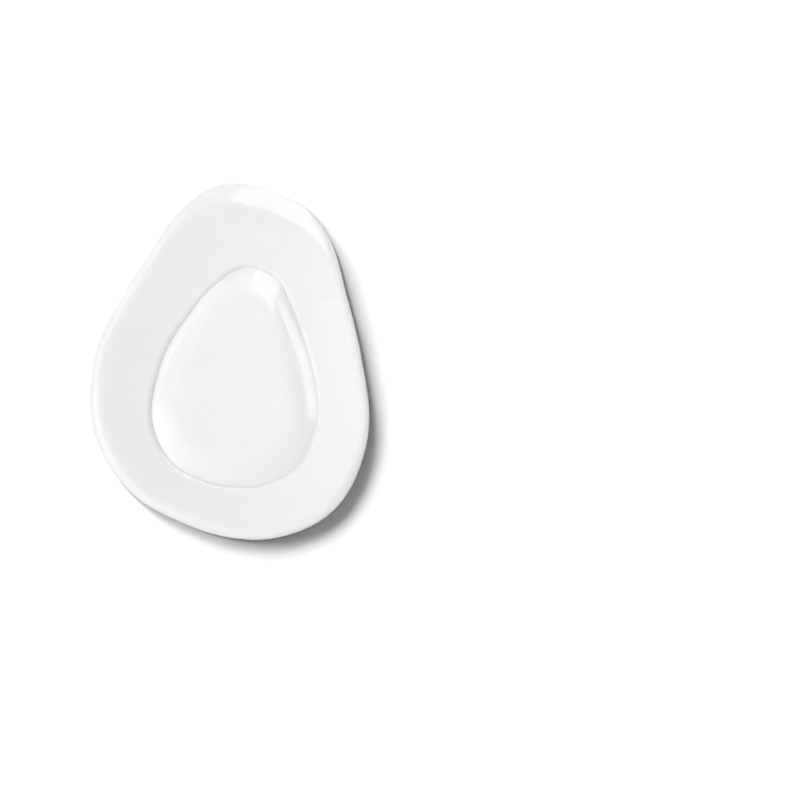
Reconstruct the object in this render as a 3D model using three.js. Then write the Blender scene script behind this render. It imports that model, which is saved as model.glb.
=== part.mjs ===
// A metatarsal gel pad: a soft, clear pad that lies in a shoe under the ball of the foot.
//
// It is cast in one piece. A thin flange has the plan of a lopsided egg. Its rim is rounded at the sides and
// tapers thin at the heel end. On it stands a low dome, a smaller egg that leans the other way, which props up
// the foot behind the toes. A narrow groove runs round the foot of the dome. The underside is flat.
//
// Frame, in millimetres: +Z is up, out of the dome. +Y points to the narrow end, towards the heel. +X points
// to the side of the big toe. The origin is the middle of the underside.

import * as THREE from "three";

// Plan of the pad, and of the dome on it.
const PAD_LENGTH = 74;
const PAD_WIDTH = 57.9;
const DOME_LENGTH = 45.4;
const DOME_WIDTH = 34.4;
const DOME_SHIFT_X = 1.1; // from the pad's middle to the dome's
const DOME_SHIFT_Y = -3.3;
const CROWN_SHIFT_X = -0.6; // from the dome's middle to its highest point
const CROWN_SHIFT_Y = -5.4;

// Section through the flange, from the rim inwards.
const RIM_UNDERCUT = 0.35; // radius below the outermost edge
const FLANGE_THICKNESS = 2.8; // where the bevel ends, the flange's thickest place
const FLANGE_DISH = 0.4; // how far the flange comes down from there to the groove's lip
const BEVEL_WIDTH = 9; // where the bevel is widest, at the heel end
const BEVEL_POWER = 0.8; // 0.5 gives an ellipse, 1 a parabola
const GROOVE_WIDTH = 1.2;
const GROOVE_DEPTH = 0.5;

// Section through the dome. Its shoulder and its crown are parabolas.
const DOME_HEIGHT = 5.6; // from the underside to the crown
const SHOULDER_WIDTH = 7;
const CROWN_RISE = 1; // from the dome's edge to the crown, beyond the shoulder's rise
const CROWN_FLAT = 0.08; // how much of the way to the dome's edge the crown's flat takes up

// How far each outline stands from its middle at a bearing from the heel end, as a share of an ellipse
// that has its length and width. Bearings turn towards the side of the big toe. bevel is the bevel's width
// there, as a share of BEVEL_WIDTH.
const OUTLINES = [
  { bearing: 0, pad: 0.985, dome: 0.95, bevel: 0.85 },
  { bearing: 11.25, pad: 0.985, dome: 1.01, bevel: 1.0 },
  { bearing: 22.5, pad: 0.99, dome: 1.025, bevel: 1.0 },
  { bearing: 33.75, pad: 1.012, dome: 1.005, bevel: 0.75 },
  { bearing: 45, pad: 1.0, dome: 0.945, bevel: 0.4 },
  { bearing: 67.5, pad: 0.929, dome: 0.895, bevel: 0.2 },
  { bearing: 90, pad: 0.968, dome: 0.945, bevel: 0.18 },
  { bearing: 112.5, pad: 1.098, dome: 1.065, bevel: 0.2 },
  { bearing: 135, pad: 1.141, dome: 1.107, bevel: 0.25 },
  { bearing: 157.5, pad: 1.065, dome: 1.04, bevel: 0.25 },
  { bearing: 180, pad: 0.995, dome: 0.99, bevel: 0.25 },
  { bearing: 202.5, pad: 0.977, dome: 1.0, bevel: 0.25 },
  { bearing: 225, pad: 1.038, dome: 1.06, bevel: 0.27 },
  { bearing: 247.5, pad: 1.071, dome: 1.034, bevel: 0.3 },
  { bearing: 270, pad: 0.992, dome: 0.895, bevel: 0.3 },
  { bearing: 292.5, pad: 0.866, dome: 0.804, bevel: 0.28 },
  { bearing: 315, pad: 0.83, dome: 0.766, bevel: 0.25 },
  { bearing: 337.5, pad: 0.91, dome: 0.826, bevel: 0.35 },
  { bearing: 348.75, pad: 0.96, dome: 0.877, bevel: 0.6 },
];

// Steps of the facets.
const STEPS_PER_ROW = 6;
const UNDERCUT_STEPS = 3;
const BEVEL_STEPS = 7;
const FLAT_STEPS = 4;
const GROOVE_STEPS = 3;
const SHOULDER_STEPS = 7;
const CROWN_STEPS = 3;

const QUARTER_TURN = Math.PI / 2;

// A smooth closed curve through one column of the table, as points round a middle at 0.
function tableCurve(column) {
  const rowPoints = OUTLINES.map((row) => {
    const angle = THREE.MathUtils.degToRad(row.bearing);
    return new THREE.Vector3(Math.sin(angle), Math.cos(angle), 0).multiplyScalar(row[column]);
  });
  const curve = new THREE.CatmullRomCurve3(rowPoints, true, "centripetal");
  return curve.getPoints(OUTLINES.length * STEPS_PER_ROW).slice(1);
}

// The closed outline of one column of the table, fitted to its length and width, with its box centred on middle.
function outline(column, length, width, middle) {
  const points = tableCurve(column);
  const box = new THREE.Box3().setFromPoints(points);
  const centre = box.getCenter(new THREE.Vector3());
  const size = box.getSize(new THREE.Vector3());
  const fit = new THREE.Vector3(width / size.x, length / size.y, 1);
  return points.map((point) => point.sub(centre).multiply(fit).add(middle));
}

const padMiddle = new THREE.Vector3(0, 0, 0);
const domeMiddle = new THREE.Vector3(DOME_SHIFT_X, DOME_SHIFT_Y, 0);
const crown = domeMiddle.clone().add(new THREE.Vector3(CROWN_SHIFT_X, CROWN_SHIFT_Y, 0));
const padEdge = outline("pad", PAD_LENGTH, PAD_WIDTH, padMiddle);
const domeEdge = outline("dome", DOME_LENGTH, DOME_WIDTH, domeMiddle);
const bevelWidths = tableCurve("bevel").map((point) => BEVEL_WIDTH * point.length());
const lipHeight = FLANGE_THICKNESS - FLANGE_DISH;

// A ring of points on the way from the pad's edge to the dome's. The inset is the distance in from the pad's
// edge. It and the height are worked out from the width there of the flange and of the bevel.
function flangeRing(insetAt, heightAt) {
  return padEdge.map((edge, i) => {
    const flangeWidth = edge.distanceTo(domeEdge[i]);
    const inset = insetAt(flangeWidth, bevelWidths[i]);
    const point = edge.clone().lerp(domeEdge[i], inset / flangeWidth);
    return point.setZ(heightAt(inset, flangeWidth, bevelWidths[i]));
  });
}

// The height of the flange's top at an inset: up over the bevel, then down a little to the groove's lip.
function flangeHeight(inset, flangeWidth, bevelWidth) {
  const rise = FLANGE_THICKNESS - RIM_UNDERCUT;
  const run = Math.max(0, 1 - inset / bevelWidth);
  const dish = FLANGE_DISH * THREE.MathUtils.smoothstep(inset, bevelWidth, flangeWidth - GROOVE_WIDTH);
  return RIM_UNDERCUT + rise * (1 - run ** 2) ** BEVEL_POWER - dish;
}

// A ring on the dome. The inset is the distance in from the dome's edge, worked out from the way to the crown.
function domeRing(insetAt) {
  const foot = lipHeight - GROOVE_DEPTH;
  const shoulderRise = DOME_HEIGHT - CROWN_RISE - foot;
  return domeEdge.map((edge) => {
    const reach = edge.distanceTo(crown);
    const inset = insetAt(reach);
    const run = Math.max(0, 1 - inset / SHOULDER_WIDTH);
    const height = foot + shoulderRise * (1 - run ** 2) + CROWN_RISE * (1 - (1 - inset / reach) ** 2);
    return edge.clone().lerp(crown, inset / reach).setZ(height);
  });
}

// The numbers from first to last in equal steps, both counted, or without the first one.
function spaced(first, last, steps) {
  return Array.from({ length: steps + 1 }, (_, i) => THREE.MathUtils.lerp(first, last, i / steps));
}
function spacedAfter(first, last, steps) {
  return spaced(first, last, steps).slice(1);
}

// From the flat underside round to the outermost edge.
function undercutRings() {
  return spaced(0, QUARTER_TURN, UNDERCUT_STEPS).map((turn) =>
    flangeRing(
      () => RIM_UNDERCUT * (1 - Math.sin(turn)),
      () => RIM_UNDERCUT * (1 - Math.cos(turn)),
    ),
  );
}

// From the outermost edge up over the bevel.
function bevelRings() {
  return spacedAfter(0, QUARTER_TURN, BEVEL_STEPS).map((turn) =>
    flangeRing((flangeWidth, bevelWidth) => bevelWidth * (1 - Math.cos(turn)), flangeHeight),
  );
}

// Over the flange to the groove's lip.
function flatRings() {
  return spacedAfter(0, 1, FLAT_STEPS).map((share) =>
    flangeRing(
      (flangeWidth, bevelWidth) => THREE.MathUtils.lerp(bevelWidth, flangeWidth - GROOVE_WIDTH, share),
      flangeHeight,
    ),
  );
}

// Down into the groove, which is deepest where the dome rises out of it.
function grooveRings() {
  return spacedAfter(0, 1, GROOVE_STEPS).map((share) =>
    flangeRing(
      (flangeWidth) => flangeWidth - GROOVE_WIDTH * (1 - share),
      () => lipHeight - GROOVE_DEPTH * share ** 2,
    ),
  );
}

// From the groove up the dome's shoulder and over to the crown's flat.
function domeRings() {
  const shoulder = spacedAfter(0, SHOULDER_WIDTH, SHOULDER_STEPS).map((inset) => domeRing(() => inset));
  const crownRings = spacedAfter(0, 1, CROWN_STEPS).map((share) =>
    domeRing((reach) => THREE.MathUtils.lerp(SHOULDER_WIDTH, reach * (1 - CROWN_FLAT), share)),
  );
  return [...shoulder, ...crownRings];
}

// A closed skin over the rings, with a fan to a pole at each end. Seen from the first pole, the rings turn
// so that every face points out.
function skin(firstPole, rings, lastPole) {
  const around = rings[0].length;
  const points = [firstPole, ...rings.flat(), lastPole];
  const last = points.length - 1;
  const at = (ring, i) => 1 + ring * around + (i % around);
  const faces = [];
  for (let i = 0; i < around; i++) {
    faces.push(0, at(0, i), at(0, i + 1));
    for (let ring = 1; ring < rings.length; ring++) {
      faces.push(at(ring - 1, i), at(ring, i), at(ring, i + 1));
      faces.push(at(ring - 1, i), at(ring, i + 1), at(ring - 1, i + 1));
    }
    faces.push(at(rings.length - 1, i), last, at(rings.length - 1, i + 1));
  }
  const geometry = new THREE.BufferGeometry().setFromPoints(points).setIndex(faces);
  geometry.computeVertexNormals();
  return geometry;
}

function gelPad() {
  const rings = [...undercutRings(), ...bevelRings(), ...flatRings(), ...grooveRings(), ...domeRings()];
  const geometry = skin(crown, rings, crown.clone().setZ(DOME_HEIGHT));
  const gel = new THREE.MeshStandardMaterial({ color: 0xeef1f0, roughness: 0.25, metalness: 0 });
  const mesh = new THREE.Mesh(geometry, gel);
  mesh.name = "gel_pad";
  return mesh;
}

const pad = new THREE.Group();
pad.add(gelPad());

export default pad;
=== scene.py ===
"""A clear gel pad for the ball of the foot, lying dome up on a white table and seen from straight above.

The pad is one casting: a flange with the plan of a lopsided egg, a dome with the plan of a smaller egg that
leans the other way, and a narrow groove between them. +Y points to its narrow end, the heel end, and +X to
the side of the big toe.
"""

import math

import bmesh
import bpy
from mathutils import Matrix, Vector


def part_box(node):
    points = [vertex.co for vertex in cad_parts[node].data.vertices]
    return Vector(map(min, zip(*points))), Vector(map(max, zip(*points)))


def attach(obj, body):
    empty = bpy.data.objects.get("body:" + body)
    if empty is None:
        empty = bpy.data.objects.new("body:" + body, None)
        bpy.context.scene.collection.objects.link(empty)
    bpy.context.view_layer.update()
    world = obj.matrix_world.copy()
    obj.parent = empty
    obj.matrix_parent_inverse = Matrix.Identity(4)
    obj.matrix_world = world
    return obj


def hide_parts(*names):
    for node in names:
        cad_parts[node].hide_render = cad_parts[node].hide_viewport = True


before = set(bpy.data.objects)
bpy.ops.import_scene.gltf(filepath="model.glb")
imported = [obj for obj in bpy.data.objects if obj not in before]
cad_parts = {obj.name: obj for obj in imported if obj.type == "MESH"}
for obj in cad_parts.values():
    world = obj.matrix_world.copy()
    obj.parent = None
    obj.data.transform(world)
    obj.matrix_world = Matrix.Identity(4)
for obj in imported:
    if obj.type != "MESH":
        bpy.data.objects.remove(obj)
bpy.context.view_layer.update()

MM = 0.001

# Plan of the pad, from the frame, and of the dome on it.
PAD_LOW, PAD_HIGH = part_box("gel_pad")
PAD_SIZE = PAD_HIGH - PAD_LOW
PAD_MIDDLE = (PAD_LOW + PAD_HIGH) / 2
UNDERSIDE_MIDDLE = Vector((PAD_MIDDLE.x, PAD_MIDDLE.y, 0))
DOME_LENGTH = 45.4 * MM
DOME_WIDTH = 34.4 * MM
DOME_SHIFT = Vector((1.1 * MM, -3.3 * MM, 0))
CROWN_SHIFT = Vector((-0.6 * MM, -5.4 * MM, 0))

# Section through the flange, from the rim inwards.
RIM_UNDERCUT = 0.35 * MM
FLANGE_THICKNESS = 2.8 * MM
FLANGE_DISH = 0.4 * MM
BEVEL_WIDTH = 9.0 * MM
BEVEL_POWER = 0.8
GROOVE_WIDTH = 1.2 * MM
GROOVE_DEPTH = 0.5 * MM
LIP_HEIGHT = FLANGE_THICKNESS - FLANGE_DISH

# Section through the dome.
CROWN_HEIGHT = PAD_SIZE.z
SHOULDER_WIDTH = 7.0 * MM
CROWN_RISE = 1.0 * MM
CROWN_FLAT = 0.08

# How far each outline stands from its middle at a bearing from the heel end, as a share of an ellipse that
# has its length and width. Bearings turn towards the side of the big toe. bevel is the bevel's width there,
# as a share of BEVEL_WIDTH, and the last column is how much shade is painted into the groove there, most
# where its outer wall faces away from the light, on the side away from the big toe.
OUTLINES = (
    {"bearing": 0, "pad": 0.985, "dome": 0.95, "bevel": 0.85, "painted_shade": 0.2},
    {"bearing": 11.25, "pad": 0.985, "dome": 1.01, "bevel": 1.0, "painted_shade": 0.1},
    {"bearing": 22.5, "pad": 0.99, "dome": 1.025, "bevel": 1.0, "painted_shade": 0.0},
    {"bearing": 33.75, "pad": 1.012, "dome": 1.005, "bevel": 0.75, "painted_shade": 0.0},
    {"bearing": 45, "pad": 1.0, "dome": 0.945, "bevel": 0.4, "painted_shade": 0.0},
    {"bearing": 67.5, "pad": 0.929, "dome": 0.895, "bevel": 0.2, "painted_shade": 0.0},
    {"bearing": 90, "pad": 0.968, "dome": 0.945, "bevel": 0.18, "painted_shade": 0.1},
    {"bearing": 112.5, "pad": 1.098, "dome": 1.065, "bevel": 0.2, "painted_shade": 0.0},
    {"bearing": 135, "pad": 1.141, "dome": 1.107, "bevel": 0.25, "painted_shade": 0.1},
    {"bearing": 157.5, "pad": 1.065, "dome": 1.04, "bevel": 0.25, "painted_shade": 0.4},
    {"bearing": 180, "pad": 0.995, "dome": 0.99, "bevel": 0.25, "painted_shade": 0.5},
    {"bearing": 202.5, "pad": 0.977, "dome": 1.0, "bevel": 0.25, "painted_shade": 0.6},
    {"bearing": 225, "pad": 1.038, "dome": 1.06, "bevel": 0.27, "painted_shade": 0.9},
    {"bearing": 247.5, "pad": 1.071, "dome": 1.034, "bevel": 0.3, "painted_shade": 1.0},
    {"bearing": 270, "pad": 0.992, "dome": 0.895, "bevel": 0.3, "painted_shade": 1.0},
    {"bearing": 292.5, "pad": 0.866, "dome": 0.804, "bevel": 0.28, "painted_shade": 0.8},
    {"bearing": 315, "pad": 0.83, "dome": 0.766, "bevel": 0.25, "painted_shade": 0.6},
    {"bearing": 337.5, "pad": 0.91, "dome": 0.826, "bevel": 0.35, "painted_shade": 0.4},
    {"bearing": 348.75, "pad": 0.96, "dome": 0.877, "bevel": 0.6, "painted_shade": 0.3},
)

# The cage that the smooth skin is drawn from: its stations round the pad, and its rings from the underside
# to the crown. Where the rings stand close, the skin turns sharply. A grid closes it at each end.
STATIONS = 128
UNDERCUT_STEPS = 2
BEVEL_STEPS = 6
FLAT_STEPS = 6
GROOVE_SHARES = (0.2, 0.4, 0.6, 0.8, 0.92, 1)
DOME_FOOT_INSETS = (0.1 * MM, 0.35 * MM)
SHOULDER_STEPS = 7
CROWN_STEPS = 4
GRID_SPAN = 32
SMOOTH_LEVELS = 1

# The groove's painted shade carries on up the dome's foot: its share on the dome's edge, and the distance
# over which a full share would fade.
PAINTED_SHADE_ON_EDGE = 0.7
PAINTED_SHADE_FADE = 0.4 * MM

# The gel. It has one tone where it is thin and another where it is thick, and a darker one paints shade into
# the groove.
THIN_TONE = (0.899, 0.926, 0.912, 1)
THICK_TONE = (0.907, 0.943, 0.922, 1)
PAINTED_GROOVE_SHADE = (0.76, 0.785, 0.77, 1)
THIN_UP_TO = 2.4 * MM
THICK_FROM = 3.6 * MM
CLOUD_SCALE = 90
GRAIN_SCALE = 700
GRAIN_DEPTH = 0.05 * MM
GRAIN_STRENGTH = 0.05
GEL_ROUGHNESS = 0.08
CLOUD_ROUGHNESS = 0.05
GEL_IOR = 1.41
CLEARNESS = 0.6
SCATTER_DEPTH = 0.5 * MM

# The table.
TABLE_SIZE = 4
TABLE_GAP = 0.05 * MM
TABLE_TONE = (0.9, 0.9, 0.9, 1)

# The photograph: 800 pixels square, with the pad left of its middle.
PHOTO_PIXELS = 800
PAD_PIXEL = Vector((229.8, 361.3))
PAD_LENGTH_PIXELS = 357.4
LENS = 100
SENSOR = 36
CLIP_NEAR = 0.01
CLIP_FAR = 20

# The far-off lights on the table: two keys, which throw the pad's shadow, and an even light from above.
# Here and below, azimuths are in degrees from +Y turning to +X, and elevations in degrees above the table.
SUNS = (
    {"name": "key_near", "azimuth": -32, "elevation": 24, "spread": 17, "strength": 4.5},
    {"name": "key_left", "azimuth": -62, "elevation": 24, "spread": 17, "strength": 2.8},
    {"name": "ambient", "azimuth": 0, "elevation": 90, "spread": 130, "strength": 0.85},
)

# The tent, which lights the pad's body: its width, and how bright its roof and walls are.
TENT_SIZE = 2.0
ROOF_BRIGHTNESS = 1.01
WALLS = (
    {"name": "tent_n", "azimuth": 0, "brightness": 2.0},
    {"name": "tent_e", "azimuth": 90, "brightness": 0.6},
    {"name": "tent_s", "azimuth": 180, "brightness": 2.05},
    {"name": "tent_w", "azimuth": 270, "brightness": 2.4},
)

# The softboxes, which make the highlights on the pad, and how far off they stand. span is the degrees that
# one takes up across and upwards, seen from the pad. One with body set lights the pad's body instead.
BOX_DISTANCE = 0.9
SOFTBOXES = (
    {"name": "top_box", "azimuth": 29, "elevation": 30, "span": (44, 57), "brightness": 4.8},
    {"name": "top_left", "azimuth": -12, "elevation": 34, "span": (26, 44), "brightness": 1.5},
    {"name": "left_box", "azimuth": 257, "elevation": 18, "span": (30, 32), "brightness": 1.5},
    {"name": "left_wide", "azimuth": 234, "elevation": 28, "span": (56, 56), "brightness": 0.9},
    {"name": "left_low", "azimuth": 265, "elevation": 7, "span": (110, 14), "brightness": 1.4},
    {"name": "left_rim", "azimuth": 255, "elevation": 10, "span": (60, 20), "brightness": 0.7, "body": True},
    {"name": "right_strip", "azimuth": 80, "elevation": 19, "span": (36, 16), "brightness": 4.0},
)

# A small square panel close by, over the side of the big toe.
NEAR_AZIMUTH = 90
NEAR_ELEVATION = 65
NEAR_DISTANCE = 0.11
NEAR_SIZE = 0.07
NEAR_BRIGHTNESS = 2.9

# The surround that shows in the gel: bright at the table's level, and fading up to a height, which is the
# sine of an elevation.
SURROUND_LOW = 1.5
SURROUND_HIGH = 0.35
SURROUND_HEIGHT = 0.6


def mix(first, last, share):
    """The value that lies that share of the way from first to last."""
    return first + (last - first) * share


def spaced(first, last, steps):
    """The values from first to last in equal steps, without the first one."""
    return [mix(first, last, (step + 1) / steps) for step in range(steps)]


def outline_share(column, bearing):
    """The table's share at any bearing, on a smooth closed curve through its rows."""
    rows = len(OUTLINES)
    here = max(row for row in range(rows) if OUTLINES[row]["bearing"] <= bearing)

    def knot(step):
        turns, row = divmod(here + step, rows)
        return OUTLINES[row]["bearing"] + 360 * turns, OUTLINES[row][column]

    # The bearing lies between knots 1 and 2. The curve's slope at each follows a parabola through that knot
    # and its neighbours.
    (b0, s0), (b1, s1), (b2, s2), (b3, s3) = (knot(step) for step in (-1, 0, 1, 2))
    gap = b2 - b1
    slope1 = gap * mix((s1 - s0) / (b1 - b0), (s2 - s1) / gap, (b1 - b0) / (b2 - b0))
    slope2 = gap * mix((s2 - s1) / gap, (s3 - s2) / (b3 - b2), gap / (b3 - b1))
    t = (bearing - b1) / gap
    return (
        s1 * (2 * t**3 - 3 * t**2 + 1)
        + slope1 * (t**3 - 2 * t**2 + t)
        + s2 * (3 * t**2 - 2 * t**3)
        + slope2 * (t**3 - t**2)
    )


def station_share(column, station):
    """The table's share at a station."""
    return outline_share(column, 360 * station / STATIONS)


def outline(column, width, length, middle):
    """The closed outline of one column of the table, a point for each station, in the box of that size."""
    points = []
    for station in range(STATIONS):
        share = station_share(column, station)
        angle = math.radians(360 * station / STATIONS)
        points.append(Vector((share * math.sin(angle), share * math.cos(angle), 0)))
    low = Vector((min(p.x for p in points), min(p.y for p in points), 0))
    high = Vector((max(p.x for p in points), max(p.y for p in points), 0))
    centre = (low + high) / 2
    fit_x = width / (high.x - low.x)
    fit_y = length / (high.y - low.y)
    return [Vector(((p.x - centre.x) * fit_x, (p.y - centre.y) * fit_y, 0)) + middle for p in points]


PAD_EDGE = outline("pad", PAD_SIZE.x, PAD_SIZE.y, UNDERSIDE_MIDDLE)
DOME_MIDDLE = UNDERSIDE_MIDDLE + DOME_SHIFT
DOME_EDGE = outline("dome", DOME_WIDTH, DOME_LENGTH, DOME_MIDDLE)
CROWN = DOME_MIDDLE + CROWN_SHIFT


def bevel_width(station):
    """How far the bevel reaches in from the rim at a station. It is widest at the heel end."""
    return BEVEL_WIDTH * station_share("bevel", station)


def flange_ring(inset_and_height):
    """A ring on the flange. The function gives a station's distance in from the pad's edge and its height."""
    ring = []
    for station in range(STATIONS):
        edge = PAD_EDGE[station]
        foot = DOME_EDGE[station]
        width = (foot - edge).length
        inset, height = inset_and_height(station, width)
        ring.append(edge.lerp(foot, inset / width) + Vector((0, 0, height)))
    return ring


def flange_height(station, width, inset):
    """The flange's height at a distance in from the pad's edge: up over the bevel, then down to the lip."""
    bevel = bevel_width(station)
    run = max(0, 1 - inset / bevel)
    past = max(0, inset - bevel) / (width - GROOVE_WIDTH - bevel)
    rise = FLANGE_THICKNESS - RIM_UNDERCUT
    return RIM_UNDERCUT + rise * (1 - run**2) ** BEVEL_POWER - FLANGE_DISH * past * past * (3 - 2 * past)


def undercut_rings():
    """From the flat underside round to the outermost edge."""
    rings = []
    for turn in [0, *spaced(0, math.pi / 2, UNDERCUT_STEPS)]:
        inset = RIM_UNDERCUT * (1 - math.sin(turn))
        height = RIM_UNDERCUT * (1 - math.cos(turn))
        rings.append(flange_ring(lambda station, width, i=inset, h=height: (i, h)))
    return rings


def bevel_rings():
    """From the outermost edge up over the bevel."""
    rings = []
    for turn in spaced(0, math.pi / 2, BEVEL_STEPS):

        def on_bevel(station, width, turn=turn):
            inset = bevel_width(station) * (1 - math.cos(turn))
            return inset, flange_height(station, width, inset)

        rings.append(flange_ring(on_bevel))
    return rings


def flat_rings():
    """Over the flange's top to the groove."""
    rings = []
    for share in spaced(0, 1, FLAT_STEPS):

        def on_flat(station, width, share=share):
            inset = mix(bevel_width(station), width - GROOVE_WIDTH, share)
            return inset, flange_height(station, width, inset)

        rings.append(flange_ring(on_flat))
    return rings


def groove_rings():
    """Down into the groove, which is deepest where the dome rises. Each ring comes with its share of painted
    shade.
    """
    rings = []
    for share in GROOVE_SHARES:

        def in_groove(station, width, share=share):
            return width - GROOVE_WIDTH * (1 - share), LIP_HEIGHT - GROOVE_DEPTH * share * share

        rings.append((flange_ring(in_groove), share))
    return rings


def dome_ring(inset_at):
    """A ring on the dome. The function gives the distance in from the dome's edge, from that to the crown."""
    foot = LIP_HEIGHT - GROOVE_DEPTH
    rise = CROWN_HEIGHT - foot - CROWN_RISE
    ring = []
    for edge in DOME_EDGE:
        reach = (CROWN - edge).length
        inset = inset_at(reach)
        run = max(0, 1 - inset / SHOULDER_WIDTH)
        share = 1 - inset / reach
        height = foot + rise * (1 - run**2) + CROWN_RISE * (1 - share**2)
        ring.append(edge.lerp(CROWN, inset / reach) + Vector((0, 0, height)))
    return ring


def dome_rings():
    """Up the dome's shoulder and over to the small flat at the crown. Each ring comes with its share of
    painted shade.
    """
    rings = []
    for inset in (*DOME_FOOT_INSETS, *spaced(DOME_FOOT_INSETS[-1], SHOULDER_WIDTH, SHOULDER_STEPS)):
        # The painted shade in the groove fades out a little way up the dome's foot.
        painted_shade_share = max(0, PAINTED_SHADE_ON_EDGE - inset / PAINTED_SHADE_FADE)
        rings.append((dome_ring(lambda reach, i=inset: i), painted_shade_share))
    for share in spaced(0, 1, CROWN_STEPS):

        def on_crown(reach, share=share):
            return mix(SHOULDER_WIDTH, reach * (1 - CROWN_FLAT), share)

        rings.append((dome_ring(on_crown), 0))
    return rings


def place(mesh, ring, painted_shade_share):
    """Moves each selected vertex to its station on the ring, and notes how much shade is painted on it there.
    """
    cage = bmesh.from_edit_mesh(mesh)
    station = cage.verts.layers.int["station"]
    groove = cage.verts.layers.float["groove"]
    for vertex in cage.verts:
        if vertex.select:
            vertex.co = ring[vertex[station]]
            vertex[groove] = painted_shade_share * station_share("painted_shade", vertex[station])
    bmesh.update_edit_mesh(mesh)


def select_first_ring(mesh):
    """Selects the underside's ring, whose vertices were made first."""
    bpy.ops.mesh.select_all(action="DESELECT")
    cage = bmesh.from_edit_mesh(mesh)
    cage.verts.ensure_lookup_table()
    for vertex in cage.verts[:STATIONS]:
        vertex.select = True
    cage.select_flush(True)
    bmesh.update_edit_mesh(mesh)


def add_pad():
    """The pad's closed skin: a circle on the underside's outline, drawn out ring by ring to the crown."""
    bpy.ops.object.select_all(action="DESELECT")
    bpy.ops.mesh.primitive_circle_add(vertices=STATIONS, radius=PAD_SIZE.y / 2, location=(0, 0, 0))
    pad = bpy.context.object
    pad.name = "gel_pad_skin"
    first, *flange = [(ring, 0) for ring in (*undercut_rings(), *bevel_rings(), *flat_rings())]
    stations = pad.data.attributes.new("station", "INT", "POINT")
    stations.data.foreach_set("value", list(range(STATIONS)))
    # The groove attribute carries painted shade, which darkens the gel's colour in and beside the groove.
    pad.data.attributes.new("groove", "FLOAT", "POINT")
    bpy.ops.object.mode_set(mode="EDIT")
    bpy.ops.mesh.select_all(action="SELECT")
    place(pad.data, *first)
    for ring, painted_shade_share in (*flange, *groove_rings(), *dome_rings()):
        bpy.ops.mesh.extrude_region_move(TRANSFORM_OT_translate={"value": (0, 0, 0)})
        place(pad.data, ring, painted_shade_share)
    bpy.ops.mesh.fill_grid(span=GRID_SPAN)
    select_first_ring(pad.data)
    bpy.ops.mesh.fill_grid(span=GRID_SPAN)
    bpy.ops.mesh.select_all(action="SELECT")
    bpy.ops.mesh.normals_make_consistent(inside=False)
    bpy.ops.object.mode_set(mode="OBJECT")
    pad.data.attributes.remove(pad.data.attributes["station"])
    smooth = pad.modifiers.new("smooth", "SUBSURF")
    smooth.levels = SMOOTH_LEVELS
    smooth.render_levels = SMOOTH_LEVELS
    bpy.ops.object.modifier_apply(modifier=smooth.name)
    bpy.ops.object.shade_smooth()
    return pad


class Value:
    """An output in a node tree, or the tree itself. A sum or product of values adds its Math nodes."""

    def __init__(self, tree, socket=None):
        self.tree = tree
        self.socket = socket

    def add(self, kind, settings, inputs, output=0):
        """Adds a node, makes its settings, then fills or links its inputs. Returns one output, if any."""
        node = self.tree.nodes.new(kind)
        for name, setting in settings.items():
            setattr(node, name, setting)
        for name, given in inputs.items():
            if isinstance(given, Value):
                self.tree.links.new(given.socket, node.inputs[name])
            else:
                node.inputs[name].default_value = given
        return Value(self.tree, node.outputs[output] if node.outputs else None)

    def calculate(self, operation, other):
        return self.add("ShaderNodeMath", {"operation": operation}, {0: self, 1: other})

    def __add__(self, other):
        return self.calculate("ADD", other)

    def __mul__(self, other):
        return self.calculate("MULTIPLY", other)

    __radd__ = __add__
    __rmul__ = __mul__


def blank_nodes(owner):
    """The node tree of a material or world, emptied."""
    owner.use_nodes = True
    owner.node_tree.nodes.clear()
    return Value(owner.node_tree)


def mixed_tone(nodes, share, first, second):
    """A colour that lies that share of the way from the first to the second."""
    return nodes.add("ShaderNodeMix", {"data_type": "RGBA"}, {"Factor": share, 6: first, 7: second}, 2)


def clear_gel():
    """Soft clear gel, a little milky, with a smooth skin that is nowhere quite even."""
    material = bpy.data.materials.new("clear_gel")
    nodes = blank_nodes(material)
    spot = nodes.add("ShaderNodeTexCoord", {}, {}, "Object")
    cloud = nodes.add("ShaderNodeTexNoise", {}, {"Vector": spot, "Scale": CLOUD_SCALE, "Detail": 2}, "Fac")
    grain = nodes.add("ShaderNodeTexNoise", {}, {"Vector": spot, "Scale": GRAIN_SCALE, "Detail": 3}, "Fac")
    # Painted shade: the groove attribute says how much shade is painted into the gel's colour in and beside
    # the groove.
    groove = nodes.add("ShaderNodeAttribute", {"attribute_name": "groove"}, {}, "Fac")
    height = nodes.add("ShaderNodeSeparateXYZ", {}, {"Vector": spot}, "Z")
    thick = nodes.add(
        "ShaderNodeMapRange",
        {"interpolation_type": "SMOOTHSTEP"},
        {"Value": height, "From Min": THIN_UP_TO, "From Max": THICK_FROM},
    )
    # The groove's painted shade pulls the gel's tone towards the darker groove tone.
    tone = mixed_tone(nodes, groove, mixed_tone(nodes, thick, THIN_TONE, THICK_TONE), PAINTED_GROOVE_SHADE)
    skin = nodes.add(
        "ShaderNodeBump",
        {},
        {"Height": grain, "Strength": GRAIN_STRENGTH, "Distance": GRAIN_DEPTH},
    )
    shader = nodes.add(
        "ShaderNodeBsdfPrincipled",
        {},
        {
            "Base Color": tone,
            "Roughness": GEL_ROUGHNESS + cloud * CLOUD_ROUGHNESS,
            "IOR": GEL_IOR,
            "Transmission Weight": CLEARNESS,
            "Subsurface Weight": 1.0,
            "Subsurface Radius": (1, 1, 1),
            "Subsurface Scale": SCATTER_DEPTH,
            "Normal": skin,
        },
    )
    nodes.add("ShaderNodeOutputMaterial", {}, {"Surface": shader})
    return material


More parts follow.
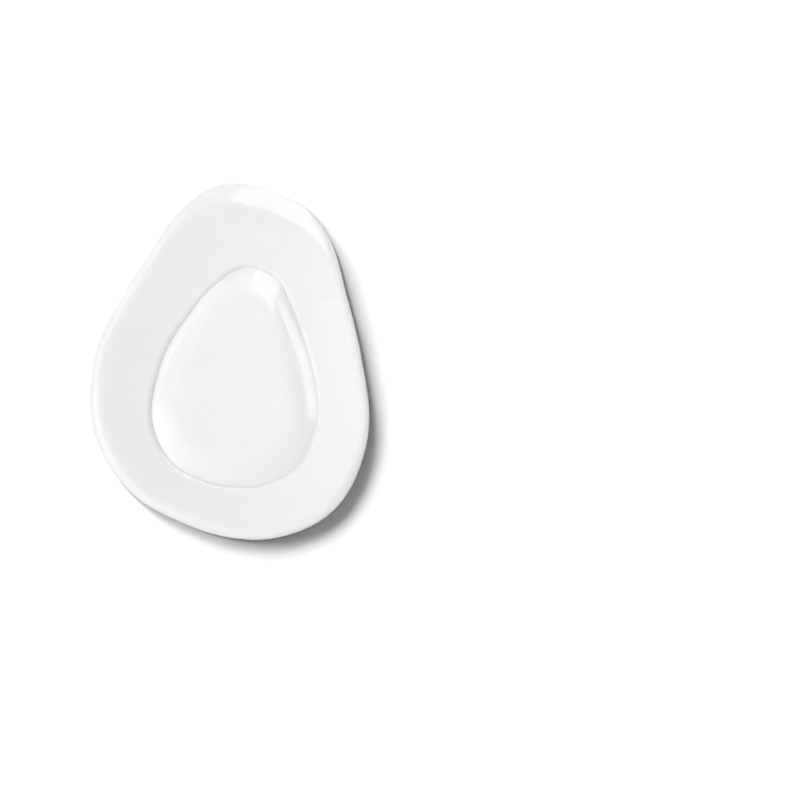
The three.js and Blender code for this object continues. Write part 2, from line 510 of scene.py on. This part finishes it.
def matt_white():
    """The table's plain white."""
    material = bpy.data.materials.new("matt_white")
    nodes = blank_nodes(material)
    shader = nodes.add(
        "ShaderNodeBsdfPrincipled",
        {},
        {"Base Color": TABLE_TONE, "Roughness": 1.0, "Specular IOR Level": 0.0},
    )
    nodes.add("ShaderNodeOutputMaterial", {}, {"Surface": shader})
    return material


def add_table():
    """A plain white table, a hair below the pad."""
    bpy.ops.object.select_all(action="DESELECT")
    bpy.ops.mesh.primitive_plane_add(size=TABLE_SIZE, location=(0, 0, -TABLE_GAP))
    table = bpy.context.object
    table.name = "table"
    table.data.materials.append(matt_white())
    return table


def gather(name, thing):
    """A collection of one thing, for a light to be linked to."""
    group = bpy.data.collections.new(name)
    group.objects.link(thing)
    return group


def direction(azimuth, elevation):
    """Towards that azimuth, at that elevation."""
    turn = math.radians(azimuth)
    rise = math.radians(elevation)
    return Vector((math.sin(turn) * math.cos(rise), math.cos(turn) * math.cos(rise), math.sin(rise)))


def add_lamp(name, data, spot, towards, lights):
    """Puts a light in the scene, looking one way. It lights one collection."""
    lamp = bpy.data.objects.new(name, data)
    bpy.context.scene.collection.objects.link(lamp)
    lamp.location = spot
    lamp.rotation_euler = towards.to_track_quat("-Z", "Y").to_euler()
    lamp.light_linking.receiver_collection = lights
    return lamp


def add_sun(name, azimuth, elevation, spread, strength, lights):
    """A far-off round light, spread degrees across."""
    data = bpy.data.lights.new(name, "SUN")
    data.angle = math.radians(spread)
    data.energy = strength
    # Otherwise rays that pass the pad without seeing it would light its shadow.
    data.cycles.use_multiple_importance_sampling = False
    side = direction(azimuth, elevation)
    add_lamp(name, data, UNDERSIDE_MIDDLE + side, -side, lights)


def add_panel(name, spot, towards, width, height, brightness, lights, body):
    """A white panel that lights the body of one collection's piece, or else shows as a highlight on it."""
    data = bpy.data.lights.new(name, "AREA")
    data.shape = "RECTANGLE"
    data.size = width
    data.size_y = height
    data.energy = brightness * math.pi * data.size * data.size_y
    lamp = add_lamp(name, data, spot, towards, lights)
    lamp.visible_diffuse = body
    lamp.visible_transmission = body
    lamp.visible_glossy = not body


def add_softbox(name, azimuth, elevation, span, brightness, lights, body=False):
    """A panel at the softboxes' distance that faces the pad."""
    side = direction(azimuth, elevation)
    width, height = (2 * BOX_DISTANCE * math.tan(math.radians(angle / 2)) for angle in span)
    add_panel(name, UNDERSIDE_MIDDLE + side * BOX_DISTANCE, -side, width, height, brightness, lights, body)


def add_tent(lights):
    """A roof and four walls of white cloth round the pad. The walls are half as high as they are wide."""
    half = TENT_SIZE / 2
    roof = Vector((0, 0, half))
    down = Vector((0, 0, -1))
    add_panel("tent_roof", roof, down, TENT_SIZE, TENT_SIZE, ROOF_BRIGHTNESS, lights, body=True)
    for wall in WALLS:
        side = direction(wall["azimuth"], 0)
        spot = side * half + Vector((0, 0, half / 2))
        add_panel(wall["name"], spot, -side, TENT_SIZE, half, wall["brightness"], lights, body=True)


def add_near_panel(lights):
    """A small panel close to the pad, facing it, which brightens its body on one side."""
    side = direction(NEAR_AZIMUTH, NEAR_ELEVATION)
    spot = UNDERSIDE_MIDDLE + side * NEAR_DISTANCE
    add_panel("near", spot, -side, NEAR_SIZE, NEAR_SIZE, NEAR_BRIGHTNESS, lights, body=True)


def add_world():
    """A pale surround that shows in the gel and lights nothing matt."""
    world = bpy.data.worlds.new("tent")
    nodes = blank_nodes(world)
    towards = nodes.add("ShaderNodeTexCoord", {}, {}, "Generated")
    height = nodes.add("ShaderNodeSeparateXYZ", {}, {"Vector": towards}, "Z")
    strength = nodes.add(
        "ShaderNodeMapRange",
        {},
        {
            "Value": height,
            "From Min": 0.0,
            "From Max": SURROUND_HEIGHT,
            "To Min": SURROUND_LOW,
            "To Max": SURROUND_HIGH,
        },
    )
    background = nodes.add("ShaderNodeBackground", {}, {"Color": (1, 1, 1, 1), "Strength": strength})
    nodes.add("ShaderNodeOutputWorld", {}, {"Surface": background})
    bpy.context.scene.world = world
    world.cycles_visibility.diffuse = False


def add_camera():
    """Straight above the picture's middle, as far off as makes the pad as long as in the photograph."""
    data = bpy.data.cameras.new("camera")
    data.lens = LENS
    data.sensor_width = SENSOR
    metres_per_pixel = PAD_SIZE.y / PAD_LENGTH_PIXELS
    off_middle = (Vector((PHOTO_PIXELS, PHOTO_PIXELS)) / 2 - PAD_PIXEL) * metres_per_pixel
    distance = metres_per_pixel * PHOTO_PIXELS * LENS / SENSOR
    camera = bpy.data.objects.new("camera", data)
    camera.location = (off_middle.x, -off_middle.y, distance + RIM_UNDERCUT)
    data.clip_start = CLIP_NEAR
    data.clip_end = CLIP_FAR
    bpy.context.scene.collection.objects.link(camera)
    bpy.context.scene.camera = camera


add_camera()
pad = add_pad()
pad.data.materials.append(clear_gel())
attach(pad, "root")
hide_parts("gel_pad")

# Otherwise the pad's bright body would light its own shadow.
pad.visible_diffuse = False

table = add_table()
on_table = gather("lit_table", table)
on_pad = gather("lit_pad", pad)
add_world()
for sun in SUNS:
    add_sun(lights=on_table, **sun)
add_tent(on_pad)
for box in SOFTBOXES:
    add_softbox(lights=on_pad, **box)
add_near_panel(on_pad)
bpy.context.scene.view_settings.view_transform = "Standard"
